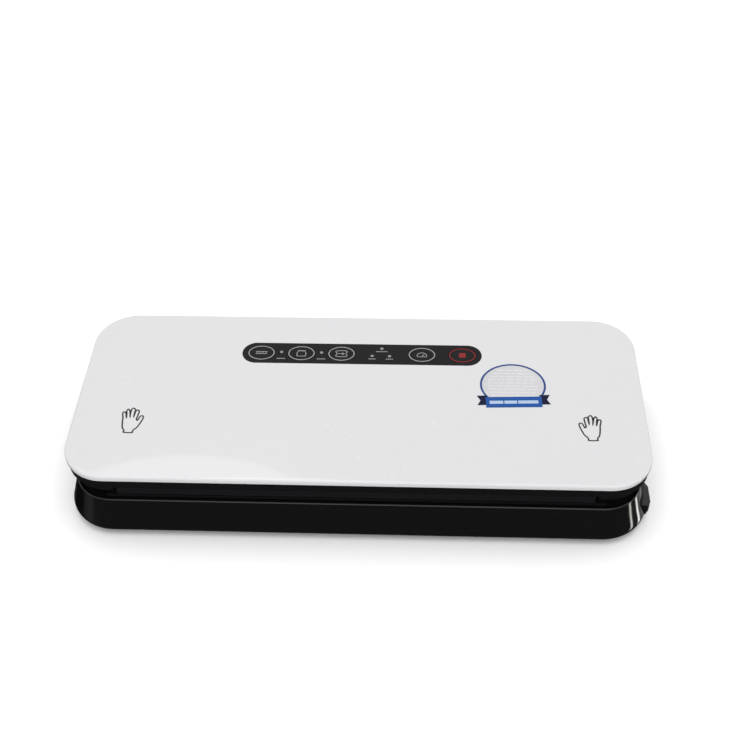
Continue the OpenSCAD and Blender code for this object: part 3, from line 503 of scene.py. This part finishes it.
def noise(tree, size_mm, detail=3.0, stretch=(1, 1, 1)):
    """Noise whose features are about size_mm across."""
    node = tree.nodes.new("ShaderNodeTexNoise")
    node.inputs["Scale"].default_value = 1000.0 / size_mm
    node.inputs["Detail"].default_value = detail
    tree.links.new(coordinates(tree, stretch), node.inputs["Vector"])
    return node.outputs["Fac"]


def spread(tree, value, low, high):
    """A 0 to 1 value carried to low to high, steepened round its middle."""
    node = tree.nodes.new("ShaderNodeMapRange")
    node.inputs["From Min"].default_value = 0.3
    node.inputs["From Max"].default_value = 0.7
    node.inputs["To Min"].default_value = low
    node.inputs["To Max"].default_value = high
    tree.links.new(value, node.inputs["Value"])
    return node.outputs["Result"]


def add_bump(tree, shader, height, depth_mm, strength=1.0):
    """Bump of a given depth on the shader."""
    node = tree.nodes.new("ShaderNodeBump")
    node.inputs["Strength"].default_value = strength
    node.inputs["Distance"].default_value = depth_mm * MM
    tree.links.new(height, node.inputs["Height"])
    tree.links.new(node.outputs["Normal"], shader.inputs["Normal"])


def blend_colours(tree, value, low, high):
    """Colour between two, by a value from 0 to 1."""
    node = tree.nodes.new("ShaderNodeMix")
    node.data_type = "RGBA"
    node.inputs[MIX_A].default_value = (*low, 1)
    node.inputs[MIX_B].default_value = (*high, 1)
    tree.links.new(value, node.inputs[0])
    return node.outputs[MIX_OUT]


def moulded(name, colour, roughness, grain_mm=0.6, grain_depth=0.004, drift=0.04, marks=0.05, **sockets):
    """Moulded plastic: a slow drift of its roughness, faint flow marks in its colour and a fine
    grain. Drift and marks are how far the two go either way."""
    drift_mm, flow_mm = 28, 60
    material, tree, shader = new_material(name, colour, roughness, **sockets)
    tree.links.new(spread(tree, noise(tree, drift_mm, 2), roughness - drift, roughness + drift),
                   shader.inputs["Roughness"])
    light = tuple(min(1.0, c * (1 + marks)) for c in colour)
    dark = tuple(c * (1 - marks) for c in colour)
    tree.links.new(blend_colours(tree, noise(tree, flow_mm, 2), dark, light), shader.inputs["Base Color"])
    add_bump(tree, shader, noise(tree, grain_mm, 4), grain_depth)
    return material


def floor_finish():
    """Plain pale studio floor."""
    material, tree, shader = new_material("studio_floor", (0.95, 0.95, 0.95), 0.7)
    tree.links.new(spread(tree, noise(tree, 300, 2), 0.55, 0.65), shader.inputs["Roughness"])
    return material


def woven(name, low, high, pitch_mm, depth_mm, roughness):
    """Plain weave: two crossing wave bands, the higher one on top."""
    material, tree, shader = new_material(name, low, roughness)
    bands = []
    for axis in ("X", "Y"):
        wave = tree.nodes.new("ShaderNodeTexWave")
        wave.bands_direction = axis
        wave.inputs["Scale"].default_value = 1000.0 / pitch_mm / 20
        wave.inputs["Distortion"].default_value = 0.3
        tree.links.new(coordinates(tree), wave.inputs["Vector"])
        bands.append(wave.outputs["Fac"])
    top = tree.nodes.new("ShaderNodeMath")
    top.operation = "MAXIMUM"
    for i, band in enumerate(bands):
        tree.links.new(band, top.inputs[i])
    tree.links.new(blend_colours(tree, top.outputs[0], low, high), shader.inputs["Base Color"])
    add_bump(tree, shader, top.outputs[0], depth_mm)
    return material


def brushed(name, colour, roughness, along="X"):
    """Drawn or brushed metal: fine streaks along one axis in its roughness and bump."""
    material, tree, shader = new_material(name, colour, roughness, Metallic=1.0)
    stretch = {"X": (0.05, 1, 1), "Y": (1, 0.05, 1), "Z": (1, 1, 0.05)}[along]
    streaks = noise(tree, 0.5, 3, stretch)
    tree.links.new(spread(tree, streaks, roughness - 0.08, roughness + 0.12), shader.inputs["Roughness"])
    add_bump(tree, shader, streaks, 0.01)
    return material


def speckled(name, low, high, size_mm, roughness, depth_mm=0.02, **sockets):
    """Surface of two mixed colours with a matching bump, as on foam, ferrite or a coil."""
    material, tree, shader = new_material(name, low, roughness, **sockets)
    grain = noise(tree, size_mm, 4)
    tree.links.new(blend_colours(tree, spread(tree, grain, 0, 1), low, high), shader.inputs["Base Color"])
    add_bump(tree, shader, grain, depth_mm)
    return material


def printed(name, colour, roughness, grain_mm=0.3, grain_depth=0.002):
    """Ink of little gloss with a fine grain."""
    return moulded(name, colour, roughness, grain_mm, grain_depth, 0.04, Specular_IOR_Level=0.12)


def make_finishes():
    """Every finish of the sealer, by the name of the record's slot."""
    return {
        "white_gloss": moulded("white_gloss", (0.575, 0.575, 0.583), 0.25, 1.5, 0.001, 0.03, 0.006,
                               Specular_IOR_Level=0.2, Coat_Weight=0.9, Coat_Roughness=0.03),
        "black_gloss": moulded("black_gloss", (0.004, 0.004, 0.0042), 0.09, 1.5, 0.001, 0.02),
        "black_satin": moulded("black_satin", (0.0045, 0.0045, 0.005), 0.36, 0.5, 0.012, 0.04,
                               Specular_IOR_Level=0.3),
        # Lighter, glossier copy of black_satin for the pressure bar: painted light, for the overhead light
        # its upward face catches
        "lit_bar_satin": moulded("lit_bar_satin", (0.006, 0.006, 0.0075), 0.3, 0.5, 0.01, 0.04,
                             Specular_IOR_Level=0.4),
        "clear_tray": moulded("clear_tray", (0.05, 0.05, 0.055), 0.3, 0.6, 0.008, 0.05),
        "foam": speckled("foam", (0.012, 0.012, 0.013), (0.035, 0.035, 0.038), 0.7, 0.9, 0.25),
        # Heater holder set near black: painted shade of the dark gap between lid and base that it sits in
        "heater_holder": moulded("heater_holder", (0.006, 0.0055, 0.005), 0.55, 0.5, 0.01, 0.06,
                                 Specular_IOR_Level=0.2),
        "steel": brushed("steel", (0.56, 0.56, 0.57), 0.28),
        # Release cloth set near black: painted shade of the dark gap between lid and base that it sits in
        "release_cloth": woven("release_cloth", (0.004, 0.0035, 0.003), (0.009, 0.008, 0.007), 0.5, 0.02,
                               0.5),
        "brass": brushed("brass", (0.7, 0.5, 0.2), 0.25),
        # Brass darkened as painted shade, for the ribbon's clips in the shaded gap under the lid
        "shade_darkened_brass": brushed("shade_darkened_brass", (0.03, 0.024, 0.016), 0.45),
        "rubber": speckled("rubber", (0.012, 0.012, 0.012), (0.02, 0.02, 0.02), 0.4, 0.75, 0.02),
        "magnet": speckled("magnet", (0.03, 0.03, 0.032), (0.06, 0.06, 0.065), 0.8, 0.6, 0.02),
        "winding": speckled("winding", (0.3, 0.1, 0.03), (0.55, 0.22, 0.08), 0.6, 0.35, 0.05, Metallic=0.8),
        "white_plastic": moulded("white_plastic", (0.7, 0.7, 0.68), 0.4, 0.5, 0.008, 0.05),
        "hose": moulded("hose", (0.6, 0.59, 0.55), 0.4, 0.8, 0.01, 0.05, Transmission_Weight=0.3),
        "board": speckled("board", (0.008, 0.07, 0.02), (0.02, 0.13, 0.04), 1.6, 0.3, 0.02),
        "laminated_core": speckled("laminated_core", (0.05, 0.045, 0.04), (0.12, 0.11, 0.1), 0.7, 0.5, 0.04),
        "component": moulded("component", (0.02, 0.025, 0.05), 0.4, 0.5, 0.008, 0.05),
        "silicone": speckled("silicone", (0.3, 0.04, 0.025), (0.4, 0.06, 0.035), 1.0, 0.55, 0.02),
        "panel_film": moulded("panel_film", (0.0035, 0.0035, 0.0038), 0.14, 1.2, 0.002, 0.03,
                              Specular_IOR_Level=0.2),
        "light_pipe": moulded("light_pipe", (0.34, 0.35, 0.37), 0.25, 0.8, 0.004, 0.05,
                              Transmission_Weight=0.4),
        "sticker": moulded("sticker", (0.5, 0.5, 0.51), 0.3, 0.5, 0.003, 0.04, Specular_IOR_Level=0.4),
        "ink_grey": moulded("ink_grey", (0.26, 0.26, 0.27), 0.35, 0.3, 0.002, 0.04),
        "ink_pale": moulded("ink_pale", (0.56, 0.56, 0.58), 0.4, 0.4, 0.002, 0.04),
        "ink_sky": moulded("ink_sky", (0.34, 0.44, 0.6), 0.35, 0.4, 0.002, 0.04),
        "ink_red": printed("ink_red", (0.22, 0.02, 0.022), 0.35),
        "ink_dark": printed("ink_dark", (0.035, 0.035, 0.038), 0.4),
        "ink_blue": printed("ink_blue", (0.014, 0.07, 0.27), 0.32, 0.4, 0.003),
        "ink_ring": printed("ink_ring", (0.022, 0.055, 0.19), 0.32, 0.4, 0.003),
        "ink_navy": printed("ink_navy", (0.004, 0.006, 0.03), 0.32, 0.4, 0.003),
    }


def finish_cad_nodes(finishes):
    """Gives each CAD node the finish of its slot in the record. The ribbon's clips get a darkened brass
    instead: painted shade of the dark gap they sit in.
    """
    for part in frame["record"]["subparts"]:
        node = nodes[part["node"]]
        node.data.materials.clear()
        finish = "shade_darkened_brass" if part["node"] == "ribbon_clips" else part["material_slot"]
        node.data.materials.append(finishes[finish])


# ---------------------------------------------------------------- base

def cut_away(piece, boxes):
    """Cuts boxes out of a closed piece and keeps the result as its mesh. A box is (lowest, highest
    corner), in millimetres."""
    corner = np.array([[x, y, z] for x in (0, 1) for y in (0, 1) for z in (0, 1)])
    sides = np.array([[0, 1, 3, 2], [4, 6, 7, 5], [0, 4, 5, 1], [2, 3, 7, 6], [0, 2, 6, 4], [1, 5, 7, 3]])
    parts = []
    for low, high in boxes:
        points = np.asarray(low) + corner * (np.asarray(high) - np.asarray(low))
        parts.append((points, sides))
    points, faces = join_parts(parts)
    cutter = mesh_object("cutter", points * MM, faces, piece.data.materials[0])
    cut = piece.modifiers.new("cut", "BOOLEAN")
    cut.operation = "DIFFERENCE"
    cut.solver = "MANIFOLD"
    cut.object = cutter
    bpy.context.view_layer.update()
    done = bpy.data.meshes.new_from_object(piece.evaluated_get(bpy.context.evaluated_depsgraph_get()))
    piece.modifiers.clear()
    piece.data = done
    done.set_sharp_from_angle(angle=math.radians(SHARP))
    bpy.data.objects.remove(cutter)


def span(node, grow=0.0):
    """Lowest and highest corner of a CAD node in millimetres, grown all round."""
    low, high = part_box(node)
    return np.array(low) / MM - grow, np.array(high) / MM + grow


def make_base_shell(finishes):
    """Walls of the base: a flared profile with softened edges carried round the base's outline, cut
    for the release button, the appliance inlet and the accessory port."""
    t = SHELL_T
    step = LIP_W - LIP_STEP_W
    profile = soft_profile([
        (step, SHELL_LOW), (3.0, SHELL_LOW), (0.9, SHELL_LOW + 0.9), (0.0, SHELL_EDGE),
        (CREASE_INSET, SHELL_CREASE), (RIM_INSET, SHELL_RIM), (RIM_INSET + t, SHELL_RIM),
        (CREASE_INSET + t, SHELL_CREASE), (t, SHELL_EDGE), (t + 0.9, SHELL_LOW + t),
        (LIP_W, SHELL_LOW + t), (LIP_W, SHELL_LOW + LIP_STEP_H), (step, SHELL_LOW + LIP_STEP_H),
    ], [0.2, 0.8, 1.0, 1.8, 3.0, 0.7, 0.5, 3.0, 1.5, 0.8, 0.3, 0, 0])
    outline, out = rounded_outline(BASE_W, BASE_D, BASE_R, arc=24, side=24)
    points, faces = ring_surface(outline, out, profile)
    walls = add_piece("base_walls", points, faces, finishes["black_gloss"], "base",
                      ["base_shell"])
    boxes = [BUTTON_CUT]
    for node in ("inlet_socket", "accessory_port"):
        low, high = span(node, 0.2)
        boxes.append(((low[0], BACK_CUT[0], low[2]), (high[0], BACK_CUT[1], high[2])))
    cut_away(walls, boxes)


def make_gasket(name, node, body, finishes):
    """Foam ring: a rounded, slightly crowned section carried round a racetrack outline."""
    low, high = span(node)
    width, crown = GASKET_W[node], 0.3
    section = soft_profile([(0, low[2]), (0, high[2] - crown), (width / 2, high[2]),
                            (width, high[2] - crown), (width, low[2])],
                           [0.5, 1.2, 0.6, 1.2, 0.5], steps=5)
    outline, out = rounded_outline(high[0] - low[0], high[1] - low[1], GASKET_R, arc=16, side=40)
    points, faces = ring_surface(outline, out, section)
    points[:, :2] += ((low + high) / 2)[:2]
    piece = add_piece(name, points, faces, finishes["foam"], body, [node], sharp=60)


# ---------------------------------------------------------------- lid

def make_lid_plate(finishes):
    """White plate: rings of points that follow the lid's outline and close in on the capsule-shaped
    opening of the panel. Each ring's points lie in the same directions from the panel's middle."""
    low, high = span("panel_overlay", 0.1)
    hole_w, hole_d = high[0] - low[0], high[1] - low[1]
    hole_r = hole_d / 2 - 0.01  # just short of a half circle, so that no side has length 0
    centre = np.array([0.0, PANEL_Y])
    lid_points, _ = rounded_outline(LID_W, LID_D, LID_R, arc=20, side=12)
    hole_points, _ = rounded_outline(hole_w, hole_d, hole_r, arc=20, side=4)
    turns = np.concatenate([np.arctan2(*(lid_points - centre).T[::-1]), np.arctan2(*hole_points.T[::-1])])
    turns = np.unique(np.round(turns, 5))
    ways = np.stack([np.cos(turns), np.sin(turns)], 1)
    outer = centre + ways * reach(ways, centre, LID_W, LID_D, LID_R)[:, None]
    inner = centre + ways * reach(ways, np.zeros(2), hole_w, hole_d, hole_r)[:, None]
    out = outward(outer, LID_W, LID_D, LID_R)
    edge = [with_height(outer - out * (PLATE_EDGE * (1 - math.sin(a))),
                        FACE_Z - PLATE_EDGE * (1 - math.cos(a))) for a in np.radians(np.linspace(0, 90, 9))]
    face = [edge[0] * s + with_height(inner, FACE_Z) * (1 - s)
            for s in (0.0, 0.02, 0.1, 0.3, 0.6, 0.9, 0.985)]
    underside = FACE_Z - PLATE_T
    lip = [with_height(inner, underside), with_height(inner, FACE_Z - 0.1)]
    rim = [with_height(outer - out * inset, z) for inset, z in (
        (0, PLATE_LOW + 0.6), (0.15, PLATE_LOW + 0.15), (0.6, PLATE_LOW), (PLATE_RIM, PLATE_LOW),
        (PLATE_RIM, underside))]
    under = [rim[-1] * s + lip[0] * (1 - s) for s in (0.7, 0.35)]
    points, faces = plate_from_loops([*face, *edge, *rim, *under, *lip])
    add_piece("lid_cover", points, faces, finishes["white_gloss"], "lid", ["lid_plate"],
              sharp=40)


def make_pressure_bar(finishes):
    """Bar under the lid's front edge: a softened section with the groove of the strip, carried along X
    and closed at both ends by a fan to its middle."""
    low, high = span("pressure_bar")
    strip_low, strip_high = span("pressure_strip")
    section = soft_profile([
        (low[1], low[2]), (low[1], high[2]), (high[1], high[2]), (high[1], low[2]),
        (strip_high[1], low[2]), (strip_high[1], strip_high[2]), (strip_low[1], strip_high[2]),
        (strip_low[1], low[2]),
    ], [1.0, 0.3, 0.3, 1.0, 0.2, 0.2, 0.2, 0.2], steps=5)
    middle = np.broadcast_to(section.mean(0), section.shape)
    loops = [(low[0], middle), (low[0], section), (low[0] + 0.3, section), (high[0] - 0.3, section),
             (high[0], section), (high[0], middle)]
    points = np.concatenate([np.insert(loop, 0, x, axis=1) for x, loop in loops])
    faces = grid_faces(len(loops), len(section), False, True)
    # The bar's finish is the lighter satin copy: painted light on its upward face
    add_piece("bar_moulding", points, faces, finishes["lit_bar_satin"], "lid", ["pressure_bar"])


def key_icon(key, x, z):
    """Plain pictogram of a key: a seam, a jar, a bag drawn flat, a gauge or a filled square."""
    y = PANEL_Y
    if key == "key_seal":
        lips = [line((x - 4, y + way), (x + 4, y + way), PEN, z) for way in (1, -1)]
        seam = [line((x + i - 0.5, y - 0.6), (x + i + 0.5, y + 0.6), 0.35, z) for i in (-3, -1, 1, 3)]
        return lips + seam
    if key == "key_accessory":
        half = [(-2.3, 1.6), (-2.9, 0.6), (-2.9, -2.2), (-2.3, -2.8)]
        jar = np.array(half + [(-a, b) for a, b in reversed(half)]) + (x, y)
        return [stroke(smooth_path(jar, 4), PEN, z), line((x - 2.6, y + 2.3), (x + 2.6, y + 2.3), 0.8, z)]
    if key == "key_vacuum":
        bag = [(x - 3.6, y + 2.6), (x + 3.6, y + 2.6), (x + 3.0, y), (x + 3.6, y - 2.6), (x - 3.6, y - 2.6),
               (x - 3.0, y)]
        return [stroke(smooth_path(bag, 4, True), PEN, z, True), line((x - 2.4, y), (x + 0.6, y), PEN, z),
                filled([(x + 0.6, y + 1.1), (x + 2.2, y), (x + 0.6, y - 1.1)], z)]
    if key == "key_pressure":
        return [stroke(arc((x, y - 1.4), 3.3, 0, 180, 16), PEN, z),
                line((x, y - 1.4), (x + 1.6, y + 0.6), PEN, z),
                line((x - 3.3, y - 1.9), (x + 3.3, y - 1.9), PEN, z)]
    corners = [(-2.2, -2.2), (2.2, -2.2), (2.2, 2.2), (-2.2, 2.2)]
    return [filled(np.array(corners) + (x, y), z)]


def make_keys(finishes):
    """Each key: a shallow oval button with a rounded edge, and its printed ring and pictogram."""
    for key in ("key_seal", "key_accessory", "key_vacuum", "key_pressure", "key_stop"):
        low, high = span(key)
        x = (low[0] + high[0]) / 2
        outer = oval_outline(KEY_W, KEY_D, 96, (x, PANEL_Y))
        flange = (KEY_W + FLANGE_EXTRA) / KEY_W
        levels = [(0.0, low[2]), (flange, low[2]), (flange, FLANGE_Z), (1.0, FLANGE_Z + 0.02),
                  (1.0, KEY_TOP - 0.35), (0.996, KEY_TOP - 0.1), (0.985, KEY_TOP), (0.8, KEY_TOP),
                  (0.0, KEY_TOP)]
        points, faces = dome(outer, levels)
        add_piece(key + "_cap", points, faces, finishes["panel_film"], key, [key])
        z = KEY_TOP + PRINT_GAP
        ring = oval_outline(KEY_W - RING_LESS, KEY_D - RING_LESS, 96, (x, PANEL_Y))
        parts = [stroke(ring, RING_PEN, z, True), *key_icon(key, x, z)]
        ink = finishes["ink_red" if key == "key_stop" else "ink_grey"]
        add_print(key + "_print", parts, ink, key)


def make_panel_print(finishes):
    """Captions of the lights, as rows of short plain dashes."""
    z = span("light_pipes")[1][2] + PRINT_GAP
    x1, x2, x3 = -2 * LIGHT_PITCH, -LIGHT_PITCH, 0.5 * LIGHT_PITCH
    # Middle of a light, how far its caption lies below it, length of the caption, dashes in it
    captions = [((x1, 1.0), 6.3, 6.0, 4), ((x2, 1.0), 6.3, 6.0, 4), ((x3, 5.5), 2.9, 8.0, 6),
                ((x3 - 6.4, -1.7), 2.9, 5.0, 4), ((x3 + 5.4, -1.7), 2.9, 5.0, 4)]
    parts = []
    for (x, dy), drop, length, count in captions:
        y = PANEL_Y + dy - drop
        step = length / count
        for k in range(count):
            start = x - length / 2 + step * k
            parts.append(line((start + 0.2, y), (start + step - 0.2, y), 0.8, z))
    add_print("panel_print", parts, finishes["ink_grey"], "lid")


def make_hands(finishes):
    """Two press-here hands, mirrored, each a closed outline with dark wedges between the fingers."""
    outline = [(-2.5, -10.3), (-2.4, -8.7), (-4.0, -6.1), (-4.8, -1.2), (-5.1, 2.1), (-5.9, 5.5), (-5.8, 7.1),
               (-5.0, 7.5), (-4.1, 6.8), (-3.7, 6.8), (-3.6, 8.6), (-2.9, 10.0), (-1.6, 8.6), (-0.9, 7.6),
               (-0.8, 9.1), (-0.2, 10.7), (0.8, 10.8), (1.9, 9.5), (2.2, 8.1), (2.5, 8.9), (3.5, 9.3),
               (4.6, 8.1), (4.4, 6.0), (4.2, 3.7), (3.8, 1.8), (4.5, 0.2), (5.1, 1.2), (5.7, 3.1),
               (6.6, 4.3), (7.9, 3.9), (8.1, 2.3), (7.4, -0.6), (6.6, -3.0), (5.4, -5.9), (3.8, -7.8),
               (3.2, -9.3), (3.0, -10.4)]
    wedges = [[(-4.4, 7.2), (-3.0, 7.1), (-2.4, 2.5), (-2.7, 1.8), (-3.4, 2.5)],
              [(-1.9, 8.1), (-0.6, 8.1), (-0.2, 3.1), (-0.5, 2.1), (-1.1, 3.5)],
              [(1.3, 8.5), (2.6, 7.9), (2.2, 3.3), (1.8, 2.5), (1.3, 3.8)]]
    z = FACE_Z + PRINT_GAP
    for name, x, sign in (("hand_print_left", HAND_LEFT_X, 1), ("hand_print_right", HAND_RIGHT_X, -1)):
        flip, middle = np.array([sign, 1]), np.array([x, HAND_Y])
        parts = [stroke(smooth_path(np.array(outline), 5, True) * flip + middle, HAND_PEN, z, True)]
        parts += [filled(smooth_path(np.array(w), 4, True) * flip + middle, z) for w in wedges]
        add_print(name, parts, finishes["ink_dark"], "lid")


def turned(points, x0, degrees=2.0, pivot_y=-3.5):
    """Ribbon points, given across from x0, turned a little about the ribbon's middle."""
    a = math.radians(degrees)
    return [(x0 + x * math.cos(a) - (y - pivot_y) * math.sin(a),
             pivot_y + x * math.sin(a) + (y - pivot_y) * math.cos(a)) for x, y in points]


def wording(x0, y0, z):
    """Rows of plain dashes of random length, in an oval: a row's half width is the oval's half width
    times the square root of 1 less the square of the row's height over the oval's half depth."""
    dashes = []
    for k in range(ROWS):
        y = y0 + FIRST_ROW - ROW_STEP * k
        half = WORDING_W * math.sqrt(max(0.0, 1 - ((y - y0) / WORDING_D) ** 2)) - WORDING_MARGIN
        chance = np.random.default_rng(40 + k)
        x = x0 - half
        while x < x0 + half - DASH_ROOM:
            length = min(chance.uniform(*DASH_LENGTHS), x0 + half - x)
            dashes.append(line((x, y), (x + length, y), DASH_PEN, z))
            x += length + DASH_GAP
    return dashes


def make_sticker(finishes):
    """Instruction sticker: pale oval film, printed ring, plain dashes that stand for its wording, and a
    blue ribbon with pale dashes and forked ends."""
    low, high = span("sticker")
    x0, y0 = (low[0] + high[0]) / 2 - 0.4, high[1] - FILM_D / 2
    film_low, film_top = FACE_Z + 0.05, FACE_Z + 0.07
    film = oval_outline(FILM_W, FILM_D, 96, (x0, y0))
    points, faces = dome(film, [(0, FACE_Z), (1, FACE_Z), (1, film_low), (0.995, film_top), (0, film_top)])
    add_piece("sticker_film", points, faces, finishes["sticker"], "lid", ["sticker"])

    z = film_top + 0.005
    ring = stroke(oval_outline(STICKER_RING_W, STICKER_RING_D, 120, (x0, y0)), STICKER_RING_PEN, z, True)
    add_print("sticker_ring", [ring], finishes["ink_ring"], "lid")
    add_print("sticker_dashes", wording(x0, y0, z), finishes["ink_pale"], "lid")

    z += LAYER_STEP
    tail = [(17.0, -7.0), (23.8, -7.0), (21.6, -2.8), (23.8, 1.5), (17.0, 1.5), (17.0, -2.8)]
    tails = [filled(turned([(way * x, y) for x, y in tail], x0), z - 0.02) for way in (-1, 1)]
    add_print("sticker_tails", tails, finishes["ink_navy"], "lid")
    ribbon = [(-18.2, -9.3), (18.2, -9.3), (18.2, 0.1), (-18.2, 0.1)]
    add_print("sticker_ribbon", [filled(turned(ribbon, x0), z)], finishes["ink_blue"], "lid")
    z += LAYER_STEP
    words = [(-15.8, -6.9), (-6.2, 2.1), (2.8, 15.8)]
    marks = [line(*turned([(start, -4.7), (end, -4.7)], x0), 2.7, z) for start, end in words]
    add_print("sticker_ribbon_marks", marks, finishes["ink_sky"], "lid")


make_camera()
make_floor()
make_world()
make_lights()
plain_colours()
finishes = make_finishes()
finish_cad_nodes(finishes)
make_base_shell(finishes)
make_gasket("lower_foam", "lower_gasket", "base", finishes)
make_gasket("upper_foam", "upper_gasket", "lid", finishes)
make_lid_plate(finishes)
make_pressure_bar(finishes)
make_keys(finishes)
make_panel_print(finishes)
make_hands(finishes)
make_sticker(finishes)
